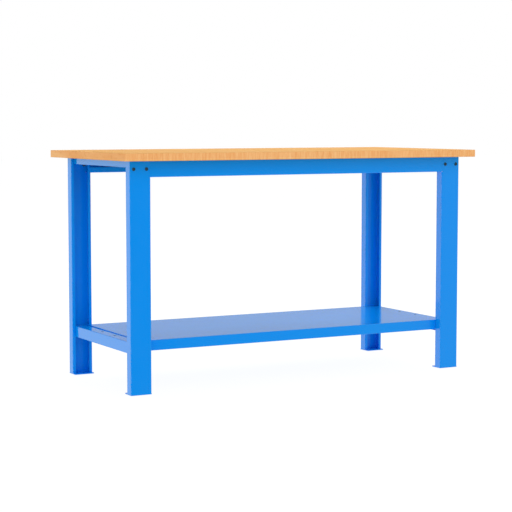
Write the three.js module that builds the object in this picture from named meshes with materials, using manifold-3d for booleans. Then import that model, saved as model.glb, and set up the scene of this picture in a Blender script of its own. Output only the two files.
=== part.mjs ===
// Assembly table: a wooden work top on a bolted frame of folded steel sheet, with a sheet-metal lower shelf.
// Millimetres, +Z up, X along the bench, front at -Y, origin on the floor below the middle of the work top.
import * as THREE from "three";
import { mergeVertices } from "three/addons/utils/BufferGeometryUtils.js";
import Module from "manifold-3d";

const wasm = await Module();
wasm.setup();

// Frame, over the outer faces of the legs
const frameLength = 1400;
const frameDepth = 584;
const frameHeight = 828; // floor to the underside of the work top

// Work top
const topThickness = 27;
const endOverhang = 39;
const frontOverhang = 53;
const rearOverhang = 75;
const topEdgeRadius = 1.5;

// Folded sheet of legs, beams and rails
const frameSheet = 2;
const bendRadius = 1; // inside the fold
const bendSegments = 2; // per eighth of a turn

// Clearances
const seam = 0.2; // between pieces that are bolted or welded face to face
const railFit = 0.3; // each side of a rail between the lips of its legs
const boltClearance = 0.3; // round a bolt or a screw

// Legs and foot plates
const legWidth = 80;
const legDepth = 36;
const legLip = 12;
const footThickness = 3;
const footDepth = 57;
const footCorner = 6;
const footHole = 9; // for a floor anchor
const footHoleEdge = 10; // from the free edge of the plate to the hole's centre

// Front and rear beams, flush with the leg faces
const beamHeight = 58;
const beamLip = 20;
const beamNotch = 5; // how far the beam runs into the leg's notched side

// Splice plates that tie beam ends into the legs
const spliceThickness = 3;
const spliceHeight = 48;
const spliceInBeam = 55; // length welded inside the beam
const spliceEdge = 5; // gap left to the leg's outer flange

// End rails between the lips of the legs
const topRailHeight = 24;
const topRailInset = 18; // from the leg face to the rail's end, clear of the beam bolts
const lowerRailTop = 185;
const lowerRailHeight = 42;

// Shelf
const shelfSheet = 1.5;
const shelfLap = 6.2; // how far each end lies on its lower rail
const shelfHem = 15; // width of the edge folded back under each end
const shelfLip = 38;
const shelfReturn = 15;
const shelfFit = 0.5; // between the shelf's folded sides and rails or legs

// Stiffener welded under the shelf
const stiffenerHeight = 24;
const stiffenerCrown = 40;
const stiffenerFlange = 20;
const stiffenerSlope = 5; // how far each side leans out
const stiffenerGap = 12; // to each shelf bracket

// Shelf brackets under the end rails
const bracketSheet = 3;
const bracketLength = 190;
const bracketUnderRail = 42; // reach from the rail's inner edge to under its flange
const bracketJoggle = 8; // length over which it steps up to the shelf
const bracketSeat = 36; // width welded under the shelf
const shelfScrewSpacing = 116;

// M6 fasteners: button-head bolts in the beams, countersunk screws in the lower rails, and their nuts
const boltDiameter = 6;
const boltHead = 12.5;
const boltHeadHeight = 3.3;
const boltHeadRim = 0.8; // straight part below the dome
const boltCrown = 7; // flat on top of the dome
const boltSocket = 4;
const boltSocketDepth = 2;
const beamBoltLength = 12;
const beamBoltEdge = 15.5; // from each side of the leg to a bolt
const sunkHead = 11.5; // its cone falls one to one
const sunkBelow = 0.1; // from the rail's top to the head
const shelfScrewLength = 12; // with the head
const nutAcrossFlats = 10;
const nutHeight = 5;

// Wood screws up into the work top
const woodScrewDiameter = 5;
const woodScrewLength = 20; // below the head
const woodScrewTip = 5;
const woodScrewHead = 10;
const woodScrewHeadHeight = 3;
const woodScrewCrown = 6; // flat on top of the pan head
const woodScrewCount = 4; // along each top end rail
const woodScrewEnd = 64; // from the rail's end to the first screw

const roundSegments = 24;
const edgeSegments = 3;

// Worked out from the values above
const frameTop = frameHeight - seam;
const railOuter = legLip + railFit; // from the leg's outer side to the rail's outer face
const railInner = legWidth - legLip - railFit;
const railCentre = legWidth / 2;
const topRailLength = frameDepth - 2 * topRailInset;
const shelfTop = lowerRailTop + seam + 2 * shelfSheet;
const shelfDepth = frameDepth - 2 * (legDepth + shelfFit);
const shelfBodyLength = frameLength - 2 * (railInner + shelfFit);
const shelfEndInset = railInner - shelfLap; // from the leg's outer side to the shelf's end
const shelfLength = frameLength - 2 * shelfEndInset;
const beamMiddle = frameHeight - beamHeight / 2;
const sides = [-1, 1];

const bluePaint = new THREE.MeshStandardMaterial({ color: "#1482de", roughness: 0.28, metalness: 0 });
const beech = new THREE.MeshStandardMaterial({ color: "#eab878", roughness: 0.5, metalness: 0 });
const blackSteel = new THREE.MeshStandardMaterial({ color: "#22272c", roughness: 0.4, metalness: 0.8 });
const zincSteel = new THREE.MeshStandardMaterial({ color: "#a9adb0", roughness: 0.35, metalness: 0.9 });

const X = new THREE.Vector3(1, 0, 0);
const Y = new THREE.Vector3(0, 1, 0);
const Z = new THREE.Vector3(0, 0, 1);

// Cutting and joining of closed meshes
function solidOf(geometry) {
  const bare = geometry.clone();
  bare.deleteAttribute("normal");
  bare.deleteAttribute("uv");
  const merged = mergeVertices(bare, 1e-4);
  return new wasm.Manifold(
    new wasm.Mesh({
      numProp: 3,
      vertProperties: merged.attributes.position.array,
      triVerts: new Uint32Array(merged.index.array),
    }),
  );
}

function geometryOf(solid) {
  const { vertProperties, triVerts } = solid.getMesh();
  const geometry = new THREE.BufferGeometry();
  geometry.setAttribute("position", new THREE.BufferAttribute(vertProperties, 3));
  geometry.setIndex(new THREE.BufferAttribute(triVerts, 1));
  geometry.computeVertexNormals();
  return geometry;
}

function cut(geometry, tools) {
  return geometryOf(tools.reduce((solid, tool) => solid.subtract(solidOf(tool)), solidOf(geometry)));
}

function join(geometry, others) {
  return geometryOf(others.reduce((solid, other) => solid.add(solidOf(other)), solidOf(geometry)));
}

// A box given by two corners
function block(low, high) {
  const size = high.map((value, i) => value - low[i]);
  const middle = high.map((value, i) => (value + low[i]) / 2);
  return new THREE.BoxGeometry(...size).translate(...middle);
}

// A round bar along Y or Z, centred on a point
function bar(diameter, length, axis, centre) {
  const geometry = new THREE.CylinderGeometry(diameter / 2, diameter / 2, length, roundSegments);
  if (axis === Z) geometry.rotateX(Math.PI / 2);
  return geometry.translate(...centre);
}

// A section pushed along X takes its two coordinates as y, z; along Y as z, x; along Z as x, y
function pushed(section, length, axis) {
  const geometry = new THREE.ExtrudeGeometry(section, {
    depth: length,
    bevelEnabled: false,
    curveSegments: bendSegments,
  });
  const turned = new THREE.Matrix4();
  if (axis === X) turned.makeBasis(Y, Z, X);
  if (axis === Y) turned.makeBasis(Z, X, Y);
  return geometry.translate(0, 0, -length / 2).applyMatrix4(turned);
}

// One rounded fold of a sheet's outline, between the corners before and after it
function roundCorner(outline, before, corner, after, radius) {
  const back = before.clone().sub(corner).normalize();
  const ahead = after.clone().sub(corner).normalize();
  const half = Math.acos(back.dot(ahead)) / 2;
  const middle = back.clone().add(ahead).normalize();
  const centre = corner.clone().addScaledVector(middle, radius / Math.sin(half));
  const start = corner.clone().addScaledVector(back, radius / Math.tan(half)).sub(centre);
  const end = corner.clone().addScaledVector(ahead, radius / Math.tan(half)).sub(centre);
  const clockwise = back.cross(ahead) > 0;
  outline.absarc(centre.x, centre.y, radius, start.angle(), end.angle(), clockwise);
}

// Section of a folded sheet: the corners of one face, with the thickness to the left of it
function foldedSection(corners, sheet) {
  const face = corners.map(([u, v]) => new THREE.Vector2(u, v));
  const last = face.length - 1;
  const lefts = face.slice(1).map((point, i) => {
    const run = point.clone().sub(face[i]).normalize();
    return new THREE.Vector2(-run.y, run.x);
  });
  const other = face.map((point, i) => {
    const a = lefts[Math.max(i - 1, 0)];
    const b = lefts[Math.min(i, last - 1)];
    const mitre = a.clone().add(b).multiplyScalar(sheet / (1 + a.dot(b)));
    return point.clone().add(mitre);
  });
  const turnsLeft = (i) => lefts[i - 1].cross(lefts[i]) > 0;
  const outline = new THREE.Shape();
  outline.moveTo(face[0].x, face[0].y);
  for (let i = 1; i < last; i++) {
    const radius = turnsLeft(i) ? bendRadius + sheet : bendRadius;
    roundCorner(outline, face[i - 1], face[i], face[i + 1], radius);
  }
  outline.lineTo(face[last].x, face[last].y);
  outline.lineTo(other[last].x, other[last].y);
  for (let i = last - 1; i > 0; i--) {
    const radius = turnsLeft(i) ? bendRadius : bendRadius + sheet;
    roundCorner(outline, other[i + 1], other[i], other[i - 1], radius);
  }
  outline.lineTo(other[0].x, other[0].y);
  outline.closePath();
  return outline;
}

// Local frames: x runs inwards from the legs' outer sides, y inwards from the front or rear faces
function cornerGroup(alongX, alongY) {
  const group = new THREE.Group();
  group.position.set((alongX * frameLength) / 2, (alongY * frameDepth) / 2, 0);
  group.scale.set(-alongX, -alongY, 1);
  return group;
}

function endGroup(alongX) {
  const group = new THREE.Group();
  group.position.x = (alongX * frameLength) / 2;
  group.scale.x = -alongX;
  return group;
}

function sideGroup(alongY) {
  const group = new THREE.Group();
  group.position.y = (alongY * frameDepth) / 2;
  group.scale.y = -alongY;
  return group;
}

function add(group, name, geometry, material) {
  const mesh = new THREE.Mesh(geometry, material);
  mesh.name = name;
  group.add(mesh);
  return mesh;
}

// Work top: one board with eased edges and pilot holes for the screws
function workTop() {
  const length = frameLength + 2 * endOverhang;
  const depth = frameDepth + frontOverhang + rearOverhang;
  const flatX = length / 2 - topEdgeRadius;
  const flatY = depth / 2 - topEdgeRadius;
  const outline = new THREE.Shape();
  outline.moveTo(-flatX, -flatY);
  outline.lineTo(flatX, -flatY);
  outline.lineTo(flatX, flatY);
  outline.lineTo(-flatX, flatY);
  outline.closePath();
  const board = new THREE.ExtrudeGeometry(outline, {
    depth: topThickness - 2 * topEdgeRadius,
    bevelThickness: topEdgeRadius,
    bevelSize: topEdgeRadius,
    bevelSegments: edgeSegments,
  }).translate(0, 0, frameHeight + topEdgeRadius);
  const pilot = woodScrewDiameter + 2 * boltClearance;
  const pilots = sides.flatMap((alongX) =>
    woodScrewPlaces().map((y) => {
      const x = alongX * (frameLength / 2 - railCentre);
      return bar(pilot, 2 * (woodScrewLength + boltClearance), Z, [x, y + frameShift, frameHeight]);
    }),
  );
  return cut(board, pilots);
}

function woodScrewPlaces() {
  const first = woodScrewEnd - topRailLength / 2;
  const spacing = (-2 * first) / (woodScrewCount - 1);
  return Array.from({ length: woodScrewCount }, (_, i) => first + i * spacing);
}

function beamBoltPlaces() {
  return [beamBoltEdge, legWidth - beamBoltEdge];
}

// Leg: a lipped channel, its inner side notched at the top to take the beam
function leg() {
  const section = foldedSection(
    [
      [legLip, legDepth],
      [0, legDepth],
      [0, 0],
      [legWidth, 0],
      [legWidth, legDepth],
      [legWidth - legLip, legDepth],
    ],
    frameSheet,
  );
  const bottom = footThickness + seam;
  const channel = pushed(section, frameTop - bottom, Z).translate(0, 0, (frameTop + bottom) / 2);
  const notchBottom = frameHeight - beamHeight - seam;
  const notch = block(
    [legWidth - beamNotch, -frameSheet, notchBottom],
    [legWidth + frameSheet, legDepth + frameSheet, frameHeight],
  );
  const holes = beamBoltPlaces().map((x) =>
    bar(boltDiameter + 2 * boltClearance, 4 * frameSheet, Y, [x, frameSheet / 2, beamMiddle]),
  );
  return cut(channel, [notch, ...holes]);
}

// Foot plate: as wide as the leg, with a drilled tab past the leg's lips
function footPlate() {
  const outline = new THREE.Shape();
  outline.moveTo(0, 0);
  outline.lineTo(legWidth, 0);
  outline.lineTo(legWidth, footDepth - footCorner);
  outline.absarc(legWidth - footCorner, footDepth - footCorner, footCorner, 0, Math.PI / 2, false);
  outline.absarc(footCorner, footDepth - footCorner, footCorner, Math.PI / 2, Math.PI, false);
  outline.closePath();
  const anchor = new THREE.Path();
  anchor.absarc(legWidth / 2, footDepth - footHoleEdge, footHole / 2, 0, 2 * Math.PI, true);
  outline.holes.push(anchor);
  return new THREE.ExtrudeGeometry(outline, {
    depth: footThickness,
    bevelEnabled: false,
    curveSegments: 2 * bendSegments,
  });
}

// Beam: a deep-lipped channel that meets the legs' faces edge to edge
function beam() {
  const bottom = frameHeight - beamHeight;
  const section = foldedSection(
    [
      [legDepth, frameTop - beamLip],
      [legDepth, frameTop],
      [0, frameTop],
      [0, bottom],
      [legDepth, bottom],
      [legDepth, bottom + beamLip],
    ],
    frameSheet,
  );
  return pushed(section, frameLength - 2 * (legWidth - beamNotch + seam), X);
}

// Splice plate: welded in the beam's end, drilled for the two bolts through the leg
function splicePlate() {
  const near = frameSheet + seam;
  const plate = block(
    [spliceEdge, near, beamMiddle - spliceHeight / 2],
    [legWidth + spliceInBeam, near + spliceThickness, beamMiddle + spliceHeight / 2],
  );
  const holes = beamBoltPlaces().map((x) =>
    bar(boltDiameter + 2 * boltClearance, 4 * spliceThickness, Y, [x, near, beamMiddle]),
  );
  return cut(plate, holes);
}

// Top end rail: a channel open downwards, drilled for the wood screws
function topRail() {
  const section = foldedSection(
    [
      [frameHeight - topRailHeight, railOuter],
      [frameTop, railOuter],
      [frameTop, railInner],
      [frameHeight - topRailHeight, railInner],
    ],
    frameSheet,
  );
  const rail = pushed(section, topRailLength, Y);
  const hole = woodScrewDiameter + 2 * boltClearance;
  const holes = woodScrewPlaces().map((y) => bar(hole, 4 * frameSheet, Z, [railCentre, y, frameTop]));
  return cut(rail, holes);
}

// Lower end rail: a channel open inwards that butts the webs of its legs
function lowerRail() {
  const bottom = lowerRailTop - lowerRailHeight;
  const section = foldedSection(
    [
      [bottom, railInner],
      [bottom, railOuter],
      [lowerRailTop, railOuter],
      [lowerRailTop, railInner],
    ],
    frameSheet,
  );
  const rail = pushed(section, frameDepth - 2 * (frameSheet + railFit), Y);
  return cut(rail, shelfScrewHoles());
}

// Countersunk holes through the rail's top flange and the bracket below it
function shelfScrewHoles() {
  const hole = boltDiameter / 2 + boltClearance;
  const rim = sunkHead / 2 + boltClearance;
  const depth = rim - hole;
  return sides.flatMap((side) => {
    const y = (side * shelfScrewSpacing) / 2;
    const through = bar(2 * hole, 2 * shelfScrewLength, Z, [railCentre, y, lowerRailTop]);
    const cone = new THREE.CylinderGeometry(2 * rim - hole, hole, 2 * depth, roundSegments);
    return [through, cone.rotateX(Math.PI / 2).translate(railCentre, y, lowerRailTop)];
  });
}

// Shelf: a tray folded down at front and rear, with its ends hemmed and laid on the lower rails
function shelf() {
  const half = shelfDepth / 2;
  const bottom = shelfTop - shelfLip;
  const section = foldedSection(
    [
      [half - shelfReturn, bottom],
      [half, bottom],
      [half, shelfTop],
      [-half, shelfTop],
      [-half, bottom],
      [shelfReturn - half, bottom],
    ],
    shelfSheet,
  );
  const tray = pushed(section, shelfBodyLength, X);
  const hemHalf = half - 2 * (shelfSheet + bendRadius);
  const nose = shelfLength / 2 - shelfSheet;
  const hems = sides.map((side) => {
    const hem = new THREE.Shape();
    hem.moveTo(shelfTop, nose);
    hem.lineTo(shelfTop, shelfLength / 2 - shelfHem);
    hem.lineTo(shelfTop - 2 * shelfSheet, shelfLength / 2 - shelfHem);
    hem.lineTo(shelfTop - 2 * shelfSheet, nose);
    hem.absarc(shelfTop - shelfSheet, nose, shelfSheet, Math.PI, 0, true);
    const strip = pushed(hem, 2 * hemHalf, Y);
    return side > 0 ? strip : strip.rotateZ(Math.PI);
  });
  return join(tray, hems);
}

// Stiffener: a hat section along the middle of the shelf's underside
function stiffener() {
  const top = shelfTop - shelfSheet - seam;
  const low = top - stiffenerHeight;
  const crown = stiffenerCrown / 2;
  const foot = crown + stiffenerSlope;
  const section = foldedSection(
    [
      [foot + stiffenerFlange, top],
      [foot, top],
      [crown, low],
      [-crown, low],
      [-foot, top],
      [-foot - stiffenerFlange, top],
    ],
    shelfSheet,
  );
  return pushed(section, frameLength - 2 * (bracketEnd + stiffenerGap), X);
}

// Shelf bracket: a joggled plate, bolted under the rail's top flange and welded under the shelf
const bracketStep = shelfEndInset + shelfHem + seam + bendRadius + bracketSheet;
const bracketEnd = bracketStep + bracketJoggle + bracketSeat;

function shelfBracket() {
  const underRail = lowerRailTop - frameSheet - seam;
  const underShelf = shelfTop - shelfSheet - seam;
  const section = foldedSection(
    [
      [underRail, railInner - bracketUnderRail],
      [underRail, bracketStep],
      [underShelf, bracketStep + bracketJoggle],
      [underShelf, bracketEnd],
    ],
    bracketSheet,
  );
  const plate = pushed(section, bracketLength, Y);
  return cut(plate, shelfScrewHoles());
}

// Button-head bolt along +Z, the underside of its head at z 0
function buttonBolt() {
  const shank = boltDiameter / 2;
  const head = boltHead / 2;
  const dome = new THREE.Path();
  dome.moveTo(0, -beamBoltLength);
  dome.lineTo(shank, -beamBoltLength);
  dome.lineTo(shank, 0);
  dome.lineTo(head, 0);
  dome.lineTo(head, boltHeadRim);
  dome.quadraticCurveTo(head, boltHeadHeight, boltCrown / 2, boltHeadHeight);
  dome.lineTo(0, boltHeadHeight);
  const turned = new THREE.LatheGeometry(dome.getPoints(edgeSegments), roundSegments).rotateX(Math.PI / 2);
  return cut(turned, [hexSocket(boltHeadHeight)]);
}

function hexSocket(headTop) {
  const corner = boltSocket / Math.sqrt(3);
  const socket = new THREE.CylinderGeometry(corner, corner, 2 * boltSocketDepth, 6);
  return socket.rotateX(Math.PI / 2).translate(0, 0, headTop);
}

// Countersunk screw along +Z, the top of its head at z 0
function sunkScrew() {
  const shank = boltDiameter / 2;
  const head = sunkHead / 2;
  const profile = [
    [0, -shelfScrewLength],
    [shank, -shelfScrewLength],
    [shank, shank - head],
    [head, 0],
    [0, 0],
  ];
  const points = profile.map(([r, z]) => new THREE.Vector2(r, z));
  return cut(new THREE.LatheGeometry(points, roundSegments).rotateX(Math.PI / 2), [hexSocket(0)]);
}

// Hex nut along +Z from z 0
function hexNut() {
  const corner = nutAcrossFlats / Math.sqrt(3);
  const corners = Array.from({ length: 6 }, (_, i) => {
    const angle = (i * Math.PI) / 3;
    return new THREE.Vector2(corner * Math.cos(angle), corner * Math.sin(angle));
  });
  const outline = new THREE.Shape(corners);
  const bore = new THREE.Path();
  bore.absarc(0, 0, boltDiameter / 2 + boltClearance, 0, 2 * Math.PI, true);
  outline.holes.push(bore);
  return new THREE.ExtrudeGeometry(outline, {
    depth: nutHeight,
    bevelEnabled: false,
    curveSegments: roundSegments / 2,
  });
}

// Pan-head wood screw along +Z, the top of its head at z 0
function woodScrew() {
  const shank = woodScrewDiameter / 2;
  const head = woodScrewHead / 2;
  const profile = [
    [0, -woodScrewHeadHeight],
    [woodScrewCrown / 2, -woodScrewHeadHeight],
    [head, -woodScrewHeadHeight / 2],
    [head, 0],
    [shank, 0],
    [shank, woodScrewLength - woodScrewTip],
    [0, woodScrewLength],
  ];
  const points = profile.map(([r, z]) => new THREE.Vector2(r, z));
  return new THREE.LatheGeometry(points, roundSegments).rotateX(Math.PI / 2);
}

// Assembly
const bench = new THREE.Group();
const frame = new THREE.Group();
const frameShift = (frontOverhang - rearOverhang) / 2;
frame.position.y = frameShift;
bench.add(frame);

add(bench, "work_top", workTop(), beech);
add(frame, "shelf", shelf(), bluePaint);
add(frame, "shelf_stiffener", stiffener(), bluePaint);

for (const alongY of sides) {
  const face = alongY < 0 ? "front" : "rear";
  const side = sideGroup(alongY);
  frame.add(side);
  add(side, face + "_beam", beam(), bluePaint);
}

for (const alongX of sides) {
  const hand = alongX < 0 ? "left" : "right";
  const end = endGroup(alongX);
  frame.add(end);
  add(end, hand + "_top_rail", topRail(), bluePaint);
  add(end, hand + "_lower_rail", lowerRail(), bluePaint);
  add(end, hand + "_shelf_bracket", shelfBracket(), bluePaint);

  sides.forEach((alongY) => {
    const face = alongY < 0 ? "front" : "rear";
    const y = (alongY * shelfScrewSpacing) / 2;
    const screw = add(end, hand + "_shelf_screw_" + face, sunkScrew(), blackSteel);
    screw.position.set(railCentre, y, lowerRailTop - sunkBelow);
    const nut = add(end, hand + "_shelf_nut_" + face, hexNut(), blackSteel);
    nut.position.set(railCentre, y, lowerRailTop - frameSheet - bracketSheet - 2 * seam - nutHeight);
  });

  woodScrewPlaces().forEach((y, i) => {
    const screw = add(end, hand + "_top_screw_" + (i + 1), woodScrew(), zincSteel);
    screw.position.set(railCentre, y, frameTop - frameSheet - seam);
  });

  for (const alongY of sides) {
    const face = alongY < 0 ? "front" : "rear";
    const place = face + "_" + hand;
    const corner = cornerGroup(alongX, alongY);
    frame.add(corner);
    add(corner, place + "_leg", leg(), bluePaint);
    add(corner, place + "_foot_plate", footPlate(), bluePaint);
    add(corner, place + "_splice_plate", splicePlate(), bluePaint);

    beamBoltPlaces().forEach((x, i) => {
      const bolt = add(corner, place + "_bolt_" + (i + 1), buttonBolt(), blackSteel);
      bolt.position.set(x, -seam, beamMiddle);
      bolt.rotation.x = Math.PI / 2;
      const nut = add(corner, place + "_nut_" + (i + 1), hexNut(), blackSteel);
      nut.position.set(x, frameSheet + spliceThickness + 2 * seam, beamMiddle);
      nut.rotation.x = -Math.PI / 2;
    });
  }
}

export default bench;
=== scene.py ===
import math

import bmesh
import bpy
from mathutils import Matrix, Vector


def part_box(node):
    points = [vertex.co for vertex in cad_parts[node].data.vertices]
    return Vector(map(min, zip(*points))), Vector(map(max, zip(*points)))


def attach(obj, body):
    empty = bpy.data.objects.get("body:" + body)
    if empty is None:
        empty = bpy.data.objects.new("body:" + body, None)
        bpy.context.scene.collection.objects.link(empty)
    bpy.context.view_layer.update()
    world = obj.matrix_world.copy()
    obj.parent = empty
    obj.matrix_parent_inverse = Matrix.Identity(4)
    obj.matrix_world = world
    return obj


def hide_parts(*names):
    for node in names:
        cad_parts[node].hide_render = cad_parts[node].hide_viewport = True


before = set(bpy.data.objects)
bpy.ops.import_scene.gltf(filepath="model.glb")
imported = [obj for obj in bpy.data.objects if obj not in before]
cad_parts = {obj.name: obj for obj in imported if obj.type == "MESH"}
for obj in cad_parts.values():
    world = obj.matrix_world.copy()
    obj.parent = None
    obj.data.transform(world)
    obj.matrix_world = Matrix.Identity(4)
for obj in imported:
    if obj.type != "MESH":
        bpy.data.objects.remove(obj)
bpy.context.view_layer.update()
scene = bpy.context.scene
scene.view_settings.view_transform = "Standard"
mm = 0.001
touch = 0.01 * mm  # nearer than this counts as the same place
hands = ("left", "right")
faces = ("front", "rear")
boltNumbers = (1, 2)
topScrewNumbers = (1, 2, 3, 4)
mirrorX = Matrix.Diagonal((-1, 1, 1, 1))  # from the left end of the bench to the right
print("frame loaded:", len(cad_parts), "solids")


# sRGB hex to linear colour
def linear(hexColour):
    parts = [int(hexColour[i:i + 2], 16) / 255 for i in (1, 3, 5)]
    return [p / 12.92 if p <= 0.04045 else ((p + 0.055) / 1.055) ** 2.4 for p in parts] + [1.0]


# One node with its socket values, links and settings
def addNode(tree, kind, values=None, links=None, **settings):
    node = tree.nodes.new("ShaderNode" + kind)
    for name, value in settings.items():
        setattr(node, name, value)
    for socket, value in (values or {}).items():
        node.inputs[socket].default_value = value
    for socket, source in (links or {}).items():
        tree.links.new(source, node.inputs[socket])
    return node


def emptyMaterial(name):
    material = bpy.data.materials.new(name)
    material.use_nodes = True
    material.node_tree.nodes.clear()
    return material


noiseSpan = (0.3, 0.7)  # noise seldom leaves this part of 0 to 1

# Powder coat on cold-rolled sheet: a baked resin skin, even sky blue and glossy, with a fine orange peel
# that softens what it mirrors, and sheet that is never dead flat over a hand's width
powderCoat = {
    "blue": "#0192f6", "thinBlue": "#0295f7", "tonePatch": 260, "roughness": (0.11, 0.15), "glossPatch": 60,
    "peel": 3, "peelDepth": 0.004, "sheetWave": 180, "waveDepth": 0.05, "ior": 1.5,
}


def makePowderCoat(look):
    material = emptyMaterial("powder_coated_steel_blue")
    tree = material.node_tree
    place = addNode(tree, "TexCoord").outputs["Object"]
    tone = addNode(tree, "TexNoise", {"Scale": 1 / (look["tonePatch"] * mm), "Detail": 2}, {"Vector": place})
    blue = addNode(tree, "Mix", {6: linear(look["blue"]), 7: linear(look["thinBlue"])},
                   {0: tone.outputs["Fac"]}, data_type="RGBA")
    gloss = addNode(tree, "TexNoise", {"Scale": 1 / (look["glossPatch"] * mm), "Detail": 3},
                    {"Vector": place})
    rough = addNode(tree, "MapRange", {"From Min": noiseSpan[0], "From Max": noiseSpan[1],
                                       "To Min": look["roughness"][0], "To Max": look["roughness"][1]},
                    {"Value": gloss.outputs["Fac"]})
    wave = addNode(tree, "TexNoise", {"Scale": 1 / (look["sheetWave"] * mm), "Detail": 0}, {"Vector": place})
    waveBump = addNode(tree, "Bump", {"Strength": 1, "Distance": look["waveDepth"] * mm},
                       {"Height": wave.outputs["Fac"]})
    peel = addNode(tree, "TexNoise", {"Scale": 1 / (look["peel"] * mm), "Detail": 1}, {"Vector": place})
    peelBump = addNode(tree, "Bump", {"Strength": 1, "Distance": look["peelDepth"] * mm},
                       {"Height": peel.outputs["Fac"], "Normal": waveBump.outputs["Normal"]})
    paint = addNode(tree, "BsdfPrincipled", {"IOR": look["ior"]},
                    {"Base Color": blue.outputs[2], "Roughness": rough.outputs["Result"],
                     "Normal": peelBump.outputs["Normal"]})
    addNode(tree, "OutputMaterial", None, {"Surface": paint.outputs["BSDF"]})
    return material


# Oiled beech, edge-glued from staves that run front to rear: pale orange-brown, matt, each stave its own
# tone, with pore lines along the grain that end as short upright streaks on the front edge; the upright
# sides carry painted light, a brighter and more orange copy of the wood colours than the top and bottom
# the pores are drawn coarser than real ones, so that they show in the render
oiledBeech = {
    "pale": "#eec17c", "deep": "#de9d55", "litSidePale": "#fdca8c", "litSideDeep": "#eea05b", "pore": "#d08a4a",
    "stave": 90, "staveSlide": (0, 3, 1.5), "staveShare": 0.14, "baseTone": 0.13,
    "grain": 6, "grainRun": 300, "streak": 60, "grainSpan": (0.35, 0.65), "grainShare": 0.6,
    "poreWidth": 1.6, "poreRun": 22, "poreStretch": 0.15, "poreSpan": (0.6, 0.78), "poreShare": 0.4,
    "poreDepth": 0.06, "roughness": (0.64, 0.76), "ior": 1.45, "specular": 0.05,
}


def makeBeech(look):
    material = emptyMaterial("oiled_beech_board")
    tree = material.node_tree
    place = addNode(tree, "TexCoord").outputs["Object"]
    split = addNode(tree, "SeparateXYZ", None, {"Vector": place})
    staveNumber = addNode(tree, "Math", {1: look["stave"] * mm}, {0: split.outputs["X"]}, operation="DIVIDE")
    staveFloor = addNode(tree, "Math", None, {0: staveNumber.outputs[0]}, operation="FLOOR")
    staveTone = addNode(tree, "TexWhiteNoise", None, {"W": staveFloor.outputs[0]}, noise_dimensions="1D")
    staveSlide = addNode(tree, "VectorMath", {1: look["staveSlide"]}, {0: staveTone.outputs["Color"]},
                         operation="MULTIPLY")
    ownPlace = addNode(tree, "VectorMath", None, {0: place, 1: staveSlide.outputs[0]}, operation="ADD")
    acrossGrain = addNode(tree, "Mapping",
                          {"Scale": [1 / (look[run] * mm) for run in ("grain", "grainRun", "streak")]},
                          {"Vector": ownPlace.outputs[0]})
    rings = addNode(tree, "TexNoise", {"Scale": 1, "Detail": 3, "Roughness": 0.6, "Distortion": 0.2},
                    {"Vector": acrossGrain.outputs[0]})
    grain = addNode(tree, "MapRange", {"From Min": look["grainSpan"][0], "From Max": look["grainSpan"][1]},
                    {"Value": rings.outputs["Fac"]})
    acrossPore = addNode(tree, "Mapping", {"Scale": (1 / (look["poreWidth"] * mm), 1 / (look["poreRun"] * mm),
                                                     look["poreStretch"] / (look["poreWidth"] * mm))},
                         {"Vector": ownPlace.outputs[0]})
    pore = addNode(tree, "TexNoise", {"Scale": 1, "Detail": 1}, {"Vector": acrossPore.outputs[0]})
    poreMask = addNode(tree, "MapRange", {"From Min": look["poreSpan"][0], "From Max": look["poreSpan"][1],
                                          "To Max": look["poreShare"]}, {"Value": pore.outputs["Fac"]})
    staveShare = addNode(tree, "Math", {1: look["staveShare"], 2: look["baseTone"]},
                         {0: staveTone.outputs["Value"]}, operation="MULTIPLY_ADD")
    tone = addNode(tree, "Math", {1: look["grainShare"]},
                   {0: grain.outputs["Result"], 2: staveShare.outputs[0]}, operation="MULTIPLY_ADD")
    planed = addNode(tree, "Mix", {6: linear(look["pale"]), 7: linear(look["deep"])},
                     {0: tone.outputs[0]}, data_type="RGBA")
    # painted light: the brighter, more orange copy of the wood colours that the upright sides take
    litSides = addNode(tree, "Mix", {6: linear(look["litSidePale"]), 7: linear(look["litSideDeep"])},
                   {0: tone.outputs[0]}, data_type="RGBA")
    # upright faces take the painted light of the sides, top and bottom faces the wood's own colours
    facing = addNode(tree, "SeparateXYZ", None, {"Vector": addNode(tree, "NewGeometry").outputs["Normal"]})
    flat = addNode(tree, "Math", None, {0: facing.outputs["Z"]}, operation="ABSOLUTE")
    wood = addNode(tree, "Mix", None, {0: flat.outputs[0], 6: litSides.outputs[2], 7: planed.outputs[2]},
                   data_type="RGBA")
    poredWood = addNode(tree, "Mix", {7: linear(look["pore"])},
                        {0: poreMask.outputs["Result"], 6: wood.outputs[2]}, data_type="RGBA")
    rough = addNode(tree, "MapRange", {"To Min": look["roughness"][0], "To Max": look["roughness"][1]},
                    {"Value": grain.outputs["Result"]})
    bump = addNode(tree, "Bump", {"Strength": 1, "Distance": -look["poreDepth"] * mm},
                   {"Height": poreMask.outputs["Result"]})
    board = addNode(tree, "BsdfPrincipled", {"IOR": look["ior"], "Specular IOR Level": look["specular"]},
                    {"Base Color": poredWood.outputs[2], "Roughness": rough.outputs["Result"],
                     "Normal": bump.outputs["Normal"]})
    addNode(tree, "OutputMaterial", None, {"Surface": board.outputs["BSDF"]})
    return material


# Black oxide on forged steel bolts and nuts: a thin blue-black skin, half matt, worn a little lighter in
# cloudy patches
blackOxide = {"dark": "#22404d", "worn": "#345a6c", "patch": 4, "roughness": (0.52, 0.64), "metallic": 0.3}

# Bright zinc on the wood screws: pale grey metal with a faint cloudy bloom
zincPlate = {"dark": "#9aa0a6", "worn": "#bcc1c4", "patch": 3, "roughness": (0.25, 0.42), "metallic": 1}


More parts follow.
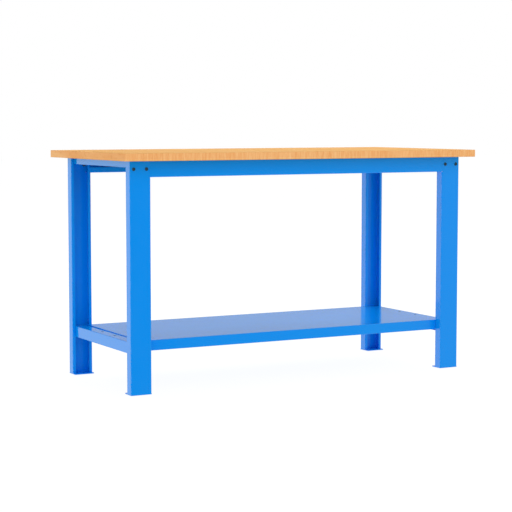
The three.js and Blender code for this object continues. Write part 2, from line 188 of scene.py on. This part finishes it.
def makeFastenerSteel(name, look):
    material = emptyMaterial(name)
    tree = material.node_tree
    place = addNode(tree, "TexCoord").outputs["Object"]
    cloud = addNode(tree, "TexNoise", {"Scale": 1 / (look["patch"] * mm), "Detail": 3}, {"Vector": place})
    tone = addNode(tree, "Mix", {6: linear(look["dark"]), 7: linear(look["worn"])},
                   {0: cloud.outputs["Fac"]}, data_type="RGBA")
    rough = addNode(tree, "MapRange", {"From Min": noiseSpan[0], "From Max": noiseSpan[1],
                                       "To Min": look["roughness"][0], "To Max": look["roughness"][1]},
                    {"Value": cloud.outputs["Fac"]})
    steel = addNode(tree, "BsdfPrincipled", {"Metallic": look["metallic"]},
                    {"Base Color": tone.outputs[2], "Roughness": rough.outputs["Result"]})
    addNode(tree, "OutputMaterial", None, {"Surface": steel.outputs["BSDF"]})
    return material


finishes = {
    "blue_paint": makePowderCoat(powderCoat),
    "work_top_wood": makeBeech(oiledBeech),
    "black_steel": makeFastenerSteel("black_oxide_steel", blackOxide),
    "zinc_steel": makeFastenerSteel("bright_zinc_steel", zincPlate),
}
print("materials made:", ", ".join(finishes))

sharpFold = 35  # degrees, past which a fold shades as an edge


# Puts a copy of a modelled shape in its place, as the piece that stands for the named nodes
def setPiece(shape, name, slot, nodes, place=None):
    copy = shape.copy()
    if place is not None:
        bmesh.ops.transform(copy, matrix=place, verts=copy.verts)
        if place.determinant() < 0:
            bmesh.ops.reverse_faces(copy, faces=copy.faces)
    mesh = bpy.data.meshes.new(name)
    copy.to_mesh(mesh)
    copy.free()
    mesh.shade_smooth()
    mesh.set_sharp_from_angle(angle=math.radians(sharpFold))
    mesh.materials.append(finishes[slot])
    piece = bpy.data.objects.new(name, mesh)
    scene.collection.objects.link(piece)
    flats = piece.modifiers.new("flat_faces", "WEIGHTED_NORMAL")  # flats stay flat, bends take the shading
    flats.keep_sharp = True
    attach(piece, "root")
    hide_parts(*nodes)


def middleOf(node):
    low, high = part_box(node)
    return (low + high) / 2


# Corner frame: x runs inwards from the leg's outer side, y inwards from its front or rear face
def cornerPlace(face, hand):
    low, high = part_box(f"{face}_{hand}_leg")
    corner = Vector((low.x if hand == "left" else high.x, low.y if face == "front" else high.y, 0))
    turn = Matrix.Diagonal((1 if hand == "left" else -1, 1 if face == "front" else -1, 1, 1))
    return Matrix.Translation(corner) @ turn


def facesWhere(shape, test):
    return [f for f in shape.faces if test(f.calc_center_median())]


# The same faces with their edges and corners, as a cut needs them
def partsWhere(shape, test):
    picked = facesWhere(shape, test)
    return picked + list({e for f in picked for e in f.edges}) + list({v for f in picked for v in f.verts})


def edgesOf(verts):
    return list({e for v in verts for e in v.link_edges})


# Draws edges out into faces, and gives the edges that moved
def drawOut(shape, edges, step):
    made = bmesh.ops.extrude_edge_only(shape, edges=edges)["geom"]
    moved = [g for g in made if isinstance(g, bmesh.types.BMVert)]
    bmesh.ops.translate(shape, vec=step, verts=moved)
    return [g for g in made if isinstance(g, bmesh.types.BMEdge) and all(v in moved for v in g.verts)]


def roundOver(shape, geom, reach, steps, affect="EDGES", clamp=False):
    bmesh.ops.bevel(shape, geom=geom, offset=reach * mm, offset_type="OFFSET", segments=steps, profile=0.5,
                    affect=affect, material=-1, clamp_overlap=clamp)


sheetWork = {"foldSteps": 6, "cutAngle": 60, "ease": 0.3, "thinEase": 0.2, "easeSteps": 2, "merge": 0.001}
holes = {"pad": 2.5, "steps": 24, "square": 0.99, "near": 0.1}


# A sheet folded along a path of corners, given in the two axes that follow the run's axis in turn
# the path is one face of the sheet, and the thickness lies to the left of it
def foldSheet(path, axis, start, end, sheet, inside):
    u, v, w = {"X": (1, 2, 0), "Y": (2, 0, 1), "Z": (0, 1, 2)}[axis]
    shape = bmesh.new()
    spots = []
    for a, b in path:
        spot = Vector()
        spot[u], spot[v], spot[w] = a * mm, b * mm, start
        spots.append(shape.verts.new(spot))
    line = [shape.edges.new(pair) for pair in zip(spots, spots[1:])]
    along = Vector()
    along[w] = end - start
    drawOut(shape, line, along)
    shape.normal_update()
    first = next(f for f in shape.faces if spots[0] in f.verts and spots[1] in f.verts)
    ahead = spots[1].co - spots[0].co
    if first.normal.dot(ahead.cross(along)) < 0:
        bmesh.ops.reverse_faces(shape, faces=shape.faces)
    for i in range(1, len(path) - 1):
        before = Vector(path[i]) - Vector(path[i - 1])
        after = Vector(path[i + 1]) - Vector(path[i])
        turn = before.angle_signed(after)  # below zero turns left, towards the thickness
        radius = inside + sheet if turn < 0 else inside
        fold = next(e for e in spots[i].link_edges if abs((e.verts[0].co - e.verts[1].co)[w]) > mm)
        roundOver(shape, [fold], radius * math.tan(abs(turn) / 2), sheetWork["foldSteps"])
    shape.normal_update()
    return shape


# A round hole through the flat face that holds the point
def drill(shape, point, axis, diameter, steps=holes["steps"]):
    point = Vector(point)
    normal = Vector([1 if letter == axis else 0 for letter in "XYZ"])
    half = (diameter / 2 + holes["pad"]) * mm
    sides = [Vector([1 if letter == other else 0 for letter in "XYZ"]) for other in "XYZ" if other != axis]

    def holding():
        shape.normal_update()
        flat = [f for f in shape.faces if abs(f.normal.dot(normal)) > holes["square"]
                and abs((f.calc_center_median() - point).dot(normal)) < holes["near"] * mm]
        return next(f for f in flat if bmesh.geometry.intersect_face_point(f, point))

    for side in sides:
        for sign in (-1, 1):
            face = holding()
            bmesh.ops.bisect_plane(shape, geom=[face, *face.edges, *face.verts], dist=touch,
                                   plane_co=point + side * sign * half, plane_no=side)
    face = holding()
    outward = face.normal.copy()
    rim = list(face.edges)
    bmesh.ops.delete(shape, geom=[face], context="FACES_ONLY")
    turned = Matrix.Translation(point) @ normal.to_track_quat("Z", "Y").to_matrix().to_4x4()
    circle = bmesh.ops.create_circle(shape, segments=steps, radius=diameter / 2 * mm, matrix=turned)["verts"]
    ring = edgesOf(circle)
    made = bmesh.ops.bridge_loops(shape, edges=rim + ring)["faces"]
    shape.normal_update()
    bmesh.ops.reverse_faces(shape, faces=[f for f in made if f.normal.dot(outward) < 0])
    return ring


# Gives a sheet its thickness, inwards from its face, and eases the cut edges
def thicken(shape, sheet, ease=sheetWork["ease"]):
    bmesh.ops.solidify(shape, geom=shape.faces[:], thickness=sheet * mm)
    bmesh.ops.recalc_face_normals(shape, faces=shape.faces)
    steep = math.radians(sheetWork["cutAngle"])
    cut = [e for e in shape.edges if e.is_manifold and e.calc_face_angle() > steep]
    roundOver(shape, cut, ease, sheetWork["easeSteps"], clamp=True)
    bmesh.ops.dissolve_degenerate(shape, dist=sheetWork["merge"] * mm, edges=shape.edges)


legs = {"lip": 12, "sheet": 2, "inside": 1, "beamNotch": 5, "beamSeam": 0.2, "boltHole": 6.6}


def makeLegs():
    low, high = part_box("front_left_leg")
    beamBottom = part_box("front_beam")[0].z
    width, depth = (high.x - low.x) / mm, (high.y - low.y) / mm
    lip = legs["lip"]
    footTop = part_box("front_left_foot_plate")[1].z  # the leg is welded down onto its plate
    shape = foldSheet([(lip, depth), (0, depth), (0, 0), (width, 0), (width, depth), (width - lip, depth)],
                      "Z", footTop, high.z, legs["sheet"], legs["inside"])
    notchBottom = beamBottom - legs["beamSeam"] * mm
    notchSide = (width - legs["beamNotch"]) * mm
    bmesh.ops.bisect_plane(shape, geom=shape.verts[:] + shape.edges[:] + shape.faces[:],
                           plane_co=(0, 0, notchBottom), plane_no=(0, 0, 1))
    top = partsWhere(shape, lambda c: c.z > notchBottom)
    bmesh.ops.bisect_plane(shape, geom=top, plane_co=(notchSide, 0, 0), plane_no=(1, 0, 0))
    gone = facesWhere(shape, lambda c: c.z > notchBottom and c.x > notchSide)
    bmesh.ops.delete(shape, geom=gone, context="FACES")
    for n in boltNumbers:
        bolt = middleOf(f"front_left_bolt_{n}")
        drill(shape, (bolt.x - low.x, 0, bolt.z), "Y", legs["boltHole"])
    thicken(shape, legs["sheet"])
    for face in faces:
        for hand in hands:
            node = f"{face}_{hand}_leg"
            setPiece(shape, node + "_channel", "blue_paint", [node], cornerPlace(face, hand))
    shape.free()


makeLegs()
print("legs folded")

beams = {"lip": 20, "sheet": 2, "inside": 1}


def makeBeams():
    low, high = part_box("front_beam")
    depth, bottom, top, lip = (high.y - low.y) / mm, low.z / mm, high.z / mm, beams["lip"]
    shape = foldSheet([(depth, top - lip), (depth, top), (0, top), (0, bottom), (depth, bottom),
                       (depth, bottom + lip)], "X", low.x, high.x, beams["sheet"], beams["inside"])
    thicken(shape, beams["sheet"])
    for face in faces:
        low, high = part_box(face + "_beam")
        place = Matrix.Translation((0, low.y if face == "front" else high.y, 0))
        turn = Matrix.Diagonal((1, 1 if face == "front" else -1, 1, 1))
        setPiece(shape, face + "_beam_channel", "blue_paint", [face + "_beam"], place @ turn)
    shape.free()


makeBeams()
print("beams folded")

rails = {"sheet": 2, "inside": 1, "screwHole": 5.6, "sunkHole": 12.1}


def makeRails():
    low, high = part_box("left_top_rail")
    width, bottom, top = (high.x - low.x) / mm, low.z / mm, high.z / mm
    topRail = foldSheet([(bottom, 0), (top, 0), (top, width), (bottom, width)], "Y", low.y, high.y,
                        rails["sheet"], rails["inside"])
    for n in topScrewNumbers:
        screw = middleOf(f"left_top_screw_{n}")
        drill(topRail, (screw.x - low.x, screw.y, high.z), "Z", rails["screwHole"])
    thicken(topRail, rails["sheet"])
    low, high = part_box("left_lower_rail")
    bottom, top = low.z / mm, high.z / mm
    lowerRail = foldSheet([(bottom, width), (bottom, 0), (top, 0), (top, width)], "Y", low.y, high.y,
                          rails["sheet"], rails["inside"])
    for face in faces:
        screw = middleOf("left_shelf_screw_" + face)
        drill(lowerRail, (screw.x - low.x, screw.y, high.z), "Z", rails["sunkHole"])
    thicken(lowerRail, rails["sheet"])
    side = Matrix.Translation((low.x, 0, 0))
    for hand in hands:
        place = side if hand == "left" else mirrorX @ side
        setPiece(topRail, hand + "_top_rail_channel", "blue_paint", [hand + "_top_rail"], place)
        setPiece(lowerRail, hand + "_lower_rail_channel", "blue_paint", [hand + "_lower_rail"], place)
    topRail.free()
    lowerRail.free()


makeRails()
print("rails folded")

# hemDrop and noseRound are in thicknesses of the sheet
tray = {"lip": 38, "back": 15, "sheet": 1.5, "inside": 1, "body": 1263.6, "hem": 15, "hemInset": 5,
        "hemDrop": 2.05, "noseRound": 1.02, "noseSteps": 5}


def makeShelf():
    low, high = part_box("shelf")
    front, rear, top = low.y / mm, high.y / mm, high.z / mm
    bottom = top - tray["lip"]
    shape = foldSheet([(rear - tray["back"], bottom), (rear, bottom), (rear, top), (front, top),
                       (front, bottom), (front + tray["back"], bottom)],
                      "X", low.x, high.x, tray["sheet"], tray["inside"])
    bodyEnd = tray["body"] / 2 * mm
    hemFront, hemRear = low.y + tray["hemInset"] * mm, high.y - tray["hemInset"] * mm
    for side in (-1, 1):
        bmesh.ops.bisect_plane(shape, geom=shape.verts[:] + shape.edges[:] + shape.faces[:],
                               plane_co=(side * bodyEnd, 0, 0), plane_no=(1, 0, 0))
    for edgeY in (hemFront, hemRear):
        ends = partsWhere(shape, lambda c: abs(c.x) > bodyEnd)
        bmesh.ops.bisect_plane(shape, geom=ends, plane_co=(0, edgeY, 0), plane_no=(0, 1, 0))
    # past the body only the strip for the hem stays
    gone = facesWhere(shape, lambda c: abs(c.x) > bodyEnd
                      and (c.z < high.z - mm or not hemFront < c.y < hemRear))
    bmesh.ops.delete(shape, geom=gone, context="FACES")

    def edgesAtEnd(side):
        return [e for e in shape.edges if all(abs(v.co.x - side * high.x) < touch for v in e.verts)]

    # each end is hemmed: turned down over a small nose and back under the sheet
    for side in (-1, 1):
        nose = drawOut(shape, edgesAtEnd(side), (0, 0, -tray["hemDrop"] * tray["sheet"] * mm))
        drawOut(shape, nose, (-side * tray["hem"] * mm, 0, 0))
        folds = [e for e in edgesAtEnd(side) if len(e.link_faces) == 2]
        roundOver(shape, folds, tray["noseRound"] * tray["sheet"], tray["noseSteps"], clamp=True)
    bmesh.ops.recalc_face_normals(shape, faces=shape.faces)
    thicken(shape, tray["sheet"], sheetWork["thinEase"])
    setPiece(shape, "shelf_tray", "blue_paint", ["shelf"])
    shape.free()


makeShelf()
print("shelf folded")

underShelf = {"stiffenerCrown": 40, "stiffenerSlope": 5, "sheet": 1.5, "inside": 1, "bracketSheet": 3,
              "bracketJoggle": 8, "bracketSeat": 36, "boltHole": 7.6}


def makeShelfSupports():
    low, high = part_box("shelf_stiffener")
    middle = (low.y + high.y) / 2 / mm
    crown = underShelf["stiffenerCrown"] / 2
    foot = crown + underShelf["stiffenerSlope"]
    half = (high.y - low.y) / 2 / mm
    bottom, top = low.z / mm, high.z / mm
    section = [(half, top), (foot, top), (crown, bottom), (-crown, bottom), (-foot, top), (-half, top)]
    hat = foldSheet([(middle + y, z) for y, z in section], "X", low.x, high.x, underShelf["sheet"],
                    underShelf["inside"])
    thicken(hat, underShelf["sheet"], sheetWork["thinEase"])
    setPiece(hat, "shelf_stiffener_hat", "blue_paint", ["shelf_stiffener"])
    hat.free()
    low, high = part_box("left_shelf_bracket")
    length = (high.x - low.x) / mm
    joggle = underShelf["bracketJoggle"]
    step = length - underShelf["bracketSeat"] - joggle
    lower, upper = low.z / mm + underShelf["bracketSheet"], high.z / mm
    plate = foldSheet([(lower, 0), (lower, step), (upper, step + joggle), (upper, length)],
                      "Y", low.y, high.y, underShelf["bracketSheet"], underShelf["inside"])
    for face in faces:
        screw = middleOf("left_shelf_screw_" + face)
        drill(plate, (screw.x - low.x, screw.y, lower * mm), "Z", underShelf["boltHole"])
    thicken(plate, underShelf["bracketSheet"])
    side = Matrix.Translation((low.x, 0, 0))
    for hand in hands:
        place = side if hand == "left" else mirrorX @ side
        setPiece(plate, hand + "_shelf_bracket_plate", "blue_paint", [hand + "_shelf_bracket"], place)
    plate.free()


makeShelfSupports()
print("shelf supports folded")

plates = {"corner": 6, "cornerSteps": 6, "anchorHole": 9, "anchorEdge": 10, "boltHole": 6.6}


# A flat plate in the corner frame, its upper or outer face first
def flatPlate(corners):
    shape = bmesh.new()
    shape.faces.new([shape.verts.new(corner) for corner in corners])
    shape.normal_update()
    return shape


def makePlates():
    low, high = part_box("front_left_foot_plate")
    size = high - low
    foot = flatPlate([(0, 0, size.z), (size.x, 0, size.z), (size.x, size.y, size.z), (0, size.y, size.z)])
    tab = [v for v in foot.verts if v.co.y > size.y / 2]
    roundOver(foot, tab, plates["corner"], plates["cornerSteps"], affect="VERTICES")
    drill(foot, (size.x / 2, size.y - plates["anchorEdge"] * mm, size.z), "Z", plates["anchorHole"])
    thicken(foot, size.z / mm)
    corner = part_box("front_left_leg")[0]
    low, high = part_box("front_left_splice_plate")
    near, size = low - corner, high - low
    left, right, y = near.x, near.x + size.x, near.y
    splice = flatPlate([(left, y, low.z), (right, y, low.z), (right, y, high.z), (left, y, high.z)])
    for n in boltNumbers:
        bolt = middleOf(f"front_left_bolt_{n}")
        drill(splice, (bolt.x - corner.x, y, bolt.z), "Y", plates["boltHole"])
    thicken(splice, size.y / mm)
    for face in faces:
        for hand in hands:
            place = cornerPlace(face, hand)
            for kind, shape in (("foot_plate", foot), ("splice_plate", splice)):
                node = f"{face}_{hand}_{kind}"
                setPiece(shape, node + "_cut", "blue_paint", [node], place)
    foot.free()
    splice.free()


makePlates()
print("plates cut")

bolts = {"head": 12.5, "headHeight": 3.3, "dome": 2.4, "domeSteps": 6, "crownGap": 0.1, "shank": 6,
         "length": 12, "socket": 4, "socketDepth": 2, "endChamfer": 0.6, "steps": 32}
sunkScrews = {"head": 11.5, "rim": 0.3, "raised": 0.8, "lensRings": (0.5, 0.65, 0.8, 0.9), "length": 12}
nuts = {"flats": 10, "height": 5, "bore": 6.2, "boreSteps": 24, "chamfer": 0.5, "chamferSteps": 2}


def ringAt(shape, radius, height):
    return [e for e in shape.edges if all(abs(v.co.xy.length - radius * mm) < touch
                                          and abs(v.co.z - height * mm) < touch for v in e.verts)]


# A fastener spun from half of its outline, with a hex socket sunk in the flat of its head
def turnFastener(outline):
    shape = bmesh.new()
    spots = [shape.verts.new((r * mm, 0, z * mm)) for r, z in outline]
    line = [shape.edges.new(pair) for pair in zip(spots, spots[1:])]
    bmesh.ops.spin(shape, geom=spots + line, axis=(0, 0, 1), angle=2 * math.pi, steps=bolts["steps"],
                   use_merge=True)
    bmesh.ops.contextual_create(shape, geom=ringAt(shape, *outline[-1]))
    crown = ringAt(shape, *outline[0])
    crownPlace = Matrix.Translation((0, 0, outline[0][1] * mm))
    hexagon = bmesh.ops.create_circle(shape, segments=6, radius=bolts["socket"] / math.sqrt(3) * mm,
                                      matrix=crownPlace)["verts"]
    hexEdges = edgesOf(hexagon)
    bmesh.ops.bridge_loops(shape, edges=hexEdges + crown)
    socketFloor = drawOut(shape, hexEdges, (0, 0, -bolts["socketDepth"] * mm))
    bmesh.ops.contextual_create(shape, geom=socketFloor)
    bmesh.ops.recalc_face_normals(shape, faces=shape.faces)
    roundOver(shape, ringAt(shape, *outline[-1]), bolts["endChamfer"], steps=1)
    return shape


def makeNut():
    nut = bmesh.new()
    outer = bmesh.ops.create_circle(nut, segments=6, radius=nuts["flats"] / math.sqrt(3) * mm)["verts"]
    inner = bmesh.ops.create_circle(nut, segments=nuts["boreSteps"], radius=nuts["bore"] / 2 * mm)["verts"]
    bmesh.ops.bridge_loops(nut, edges=edgesOf(outer + inner))
    body = bmesh.ops.extrude_face_region(nut, geom=nut.faces[:])["geom"]
    upper = [g for g in body if isinstance(g, bmesh.types.BMVert)]
    bmesh.ops.translate(nut, vec=(0, 0, nuts["height"] * mm), verts=upper)
    bmesh.ops.recalc_face_normals(nut, faces=nut.faces)
    rims = [e for e in nut.edges if abs(e.verts[0].co.z - e.verts[1].co.z) < touch
            and all(v.co.xy.length > nuts["flats"] / 2 * mm for v in e.verts)]
    roundOver(nut, rims, nuts["chamfer"], nuts["chamferSteps"])
    return nut


def makeBolts():
    head, shank, top = bolts["head"] / 2, bolts["shank"] / 2, bolts["headHeight"]
    bolt = turnFastener([(head - bolts["dome"] - bolts["crownGap"], top), (head, top), (head, 0), (shank, 0),
                         (shank, -bolts["length"])])
    roundOver(bolt, ringAt(bolt, head, top), bolts["dome"], bolts["domeSteps"])
    sunk = sunkScrews["head"] / 2
    lens = [(sunk * part, sunkScrews["raised"] * (1 - part * part)) for part in sunkScrews["lensRings"]]
    screw = turnFastener([*lens, (sunk, 0), (sunk, -sunkScrews["rim"]), (shank, shank - sunk),
                          (shank, -sunkScrews["length"])])
    nut = makeNut()
    for hand in hands:
        for face in faces:
            inwards = 1 if face == "front" else -1
            turn = Matrix.Rotation(math.radians(90 * inwards), 4, "X")
            for n in boltNumbers:
                for kind, shape in (("bolt", bolt), ("nut", nut)):
                    node = f"{face}_{hand}_{kind}_{n}"
                    low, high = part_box(node)
                    outerY, innerY = (low.y, high.y) if face == "front" else (high.y, low.y)
                    seat = (low + high) / 2
                    seat.y = outerY + inwards * top * mm if kind == "bolt" else innerY
                    setPiece(shape, node + "_turned", "black_steel", [node], Matrix.Translation(seat) @ turn)
            for kind, shape in (("screw", screw), ("nut", nut)):
                node = f"{hand}_shelf_{kind}_{face}"
                low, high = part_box(node)
                seat = (low + high) / 2
                seat.z = high.z if kind == "screw" else low.z
                setPiece(shape, node + "_turned", "black_steel", [node], Matrix.Translation(seat))
    for shape in (bolt, screw, nut):
        shape.free()


makeBolts()
print("bolts and nuts turned")

topBoard = {"easedEdge": 1.5, "easeSteps": 3, "pilotHole": 5.6, "pilotDepth": 20.3, "pilotSteps": 16}


def makeTop():
    low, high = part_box("work_top")
    board = bmesh.new()
    made = bmesh.ops.create_cube(board, size=1)["verts"]
    bmesh.ops.scale(board, vec=high - low, verts=made)
    bmesh.ops.translate(board, vec=(low + high) / 2, verts=made)
    roundOver(board, board.edges[:], topBoard["easedEdge"], topBoard["easeSteps"])
    for hand in hands:
        for n in topScrewNumbers:
            screw = middleOf(f"{hand}_top_screw_{n}")
            rim = drill(board, (screw.x, screw.y, low.z), "Z", topBoard["pilotHole"], topBoard["pilotSteps"])
            holeEnd = drawOut(board, rim, (0, 0, topBoard["pilotDepth"] * mm))
            bmesh.ops.contextual_create(board, geom=holeEnd)
    bmesh.ops.recalc_face_normals(board, faces=board.faces)
    setPiece(board, "work_top_board", "work_top_wood", ["work_top"])
    board.free()


makeTop()
print("work top planed")

# The wood screws keep their CAD solids
for hand in hands:
    for n in topScrewNumbers:
        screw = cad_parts[f"{hand}_top_screw_{n}"]
        screw.data.materials.clear()
        screw.data.materials.append(finishes["zinc_steel"])

floorLook = {"size": 60, "drop": 0.2, "pale": "#f4f4f4", "seenWhite": 0.88, "glow": 1.07}


# Pale floor that reads white to the camera and still takes the bench's shadow
def makeFloor():
    shape = bmesh.new()
    bmesh.ops.create_grid(shape, x_segments=1, y_segments=1, size=floorLook["size"] / 2)
    bmesh.ops.translate(shape, vec=(0, 0, -floorLook["drop"] * mm), verts=shape.verts)
    mesh = bpy.data.meshes.new("floor")
    shape.to_mesh(mesh)
    shape.free()
    floor = bpy.data.objects.new("floor", mesh)
    scene.collection.objects.link(floor)
    material = emptyMaterial("pale_floor")
    tree = material.node_tree
    path = addNode(tree, "LightPath")
    seen = addNode(tree, "Math", None,
                   {0: path.outputs["Is Camera Ray"], 1: path.outputs["Is Transmission Ray"]},
                   operation="MAXIMUM")
    matt = addNode(tree, "BsdfDiffuse", {"Color": linear(floorLook["pale"])})
    glow = addNode(tree, "Emission", {"Strength": floorLook["glow"]})
    blend = addNode(tree, "Math", {1: floorLook["seenWhite"]}, {0: seen.outputs[0]}, operation="MULTIPLY")
    mixed = addNode(tree, "MixShader", None, {0: blend.outputs[0], 1: matt.outputs[0], 2: glow.outputs[0]})
    addNode(tree, "OutputMaterial", None, {"Surface": mixed.outputs[0]})
    mesh.materials.append(material)
    floor.visible_glossy = False  # gloss mirrors the room's light down to the feet
    floor.visible_diffuse = False  # the room's lower half lights the bench as a wide, even floor would
    floor.visible_shadow = False


makeFloor()

studio = {"white": "#ffffff", "horizon": 1.29, "zenith": 0.2, "floorGlow": 0.85, "brightSide": (-1, 0.3, 0),
          "mirrored": (0.52, 1.45), "mirrorSpan": (-0.1, 0.9), "darkFront": (-0.95, -0.74)}
lamps = {
    "frontFill": {"place": (-2.5, -7, 7), "aim": (0, 0, 0.5), "size": 6, "watts": 135},
    "rightFill": {"place": (6.5, 1, 4.2), "aim": (0, 0, 0.3), "size": 5, "watts": 185},
    "rearFill": {"place": (3, 6.4, 6.4), "aim": (0, 0, 0.3), "size": 5, "watts": 450},
}


# Dome light that fades from the horizon to the zenith, with an even glow from below; camera, glass and gloss
# see a white room in its stead, which gloss sees bright at the left and rear and dark in front
def lightStudio():
    world = bpy.data.worlds.new("studio")
    scene.world = world
    world.use_nodes = True
    tree = world.node_tree
    tree.nodes.clear()
    toward = addNode(tree, "TexCoord").outputs["Generated"]
    split = addNode(tree, "SeparateXYZ", None, {"Vector": toward})
    sky = addNode(tree, "MapRange", {"To Min": studio["horizon"], "To Max": studio["zenith"]},
                  {"Value": split.outputs["Z"]})
    below = addNode(tree, "Math", {1: 0}, {0: split.outputs["Z"]}, operation="LESS_THAN")
    dome = addNode(tree, "Mix", {3: studio["floorGlow"]}, {0: below.outputs[0], 2: sky.outputs["Result"]},
                   data_type="FLOAT")
    soft = addNode(tree, "Background", {"Color": linear(studio["white"])}, {"Strength": dome.outputs[0]})
    side = addNode(tree, "VectorMath", {1: studio["brightSide"]}, {0: toward}, operation="DOT_PRODUCT")
    level = addNode(tree, "MapRange",
                    {"From Min": studio["mirrorSpan"][0], "From Max": studio["mirrorSpan"][1],
                     "To Min": studio["mirrored"][0], "To Max": studio["mirrored"][1]},
                    {"Value": side.outputs["Value"]}, interpolation_type="SMOOTHSTEP")
    front = addNode(tree, "MapRange",
                    {"From Min": studio["darkFront"][0], "From Max": studio["darkFront"][1]},
                    {"Value": split.outputs["Y"]}, interpolation_type="SMOOTHSTEP")
    mirrored = addNode(tree, "Math", None, {0: level.outputs["Result"], 1: front.outputs["Result"]},
                       operation="MULTIPLY")
    path = addNode(tree, "LightPath")
    gloss = path.outputs["Is Glossy Ray"]
    strength = addNode(tree, "Mix", {2: 1}, {0: gloss, 3: mirrored.outputs[0]}, data_type="FLOAT")
    room = addNode(tree, "Background", {"Color": linear(studio["white"])}, {"Strength": strength.outputs[0]})
    seen = addNode(tree, "Math", None,
                   {0: path.outputs["Is Camera Ray"], 1: path.outputs["Is Transmission Ray"]},
                   operation="MAXIMUM")
    shown = addNode(tree, "Math", None, {0: seen.outputs[0], 1: gloss}, operation="MAXIMUM")
    mixed = addNode(tree, "MixShader", None, {0: shown.outputs[0], 1: soft.outputs[0], 2: room.outputs[0]})
    addNode(tree, "OutputWorld", None, {"Surface": mixed.outputs[0]})
    for name, lamp in lamps.items():
        light = bpy.data.lights.new(name, "AREA")
        light.shape = "SQUARE"
        light.size = lamp["size"]
        light.energy = lamp["watts"]
        holder = bpy.data.objects.new(name, light)
        place = Vector(lamp["place"])
        holder.location = place
        holder.rotation_euler = (Vector(lamp["aim"]) - place).to_track_quat("-Z", "Y").to_euler()
        holder.visible_glossy = False  # lamps stay out of the paint, which mirrors the room
        scene.collection.objects.link(holder)


lightStudio()

cameraPlace = {"eye": (-2.93044, -5.36215, 0.97242), "pitch": -4.94, "turn": -28.36, "lens": 111.15,
               "sensor": 36, "reach": 200}


def makeCamera():
    lens = bpy.data.cameras.new("camera")
    lens.lens = cameraPlace["lens"]
    lens.sensor_width = cameraPlace["sensor"]
    lens.clip_end = cameraPlace["reach"]
    holder = bpy.data.objects.new("camera", lens)
    holder.location = cameraPlace["eye"]
    holder.rotation_euler = (math.radians(90 + cameraPlace["pitch"]), 0, math.radians(cameraPlace["turn"]))
    scene.collection.objects.link(holder)
    scene.camera = holder


makeCamera()
print("floor, light and camera set")
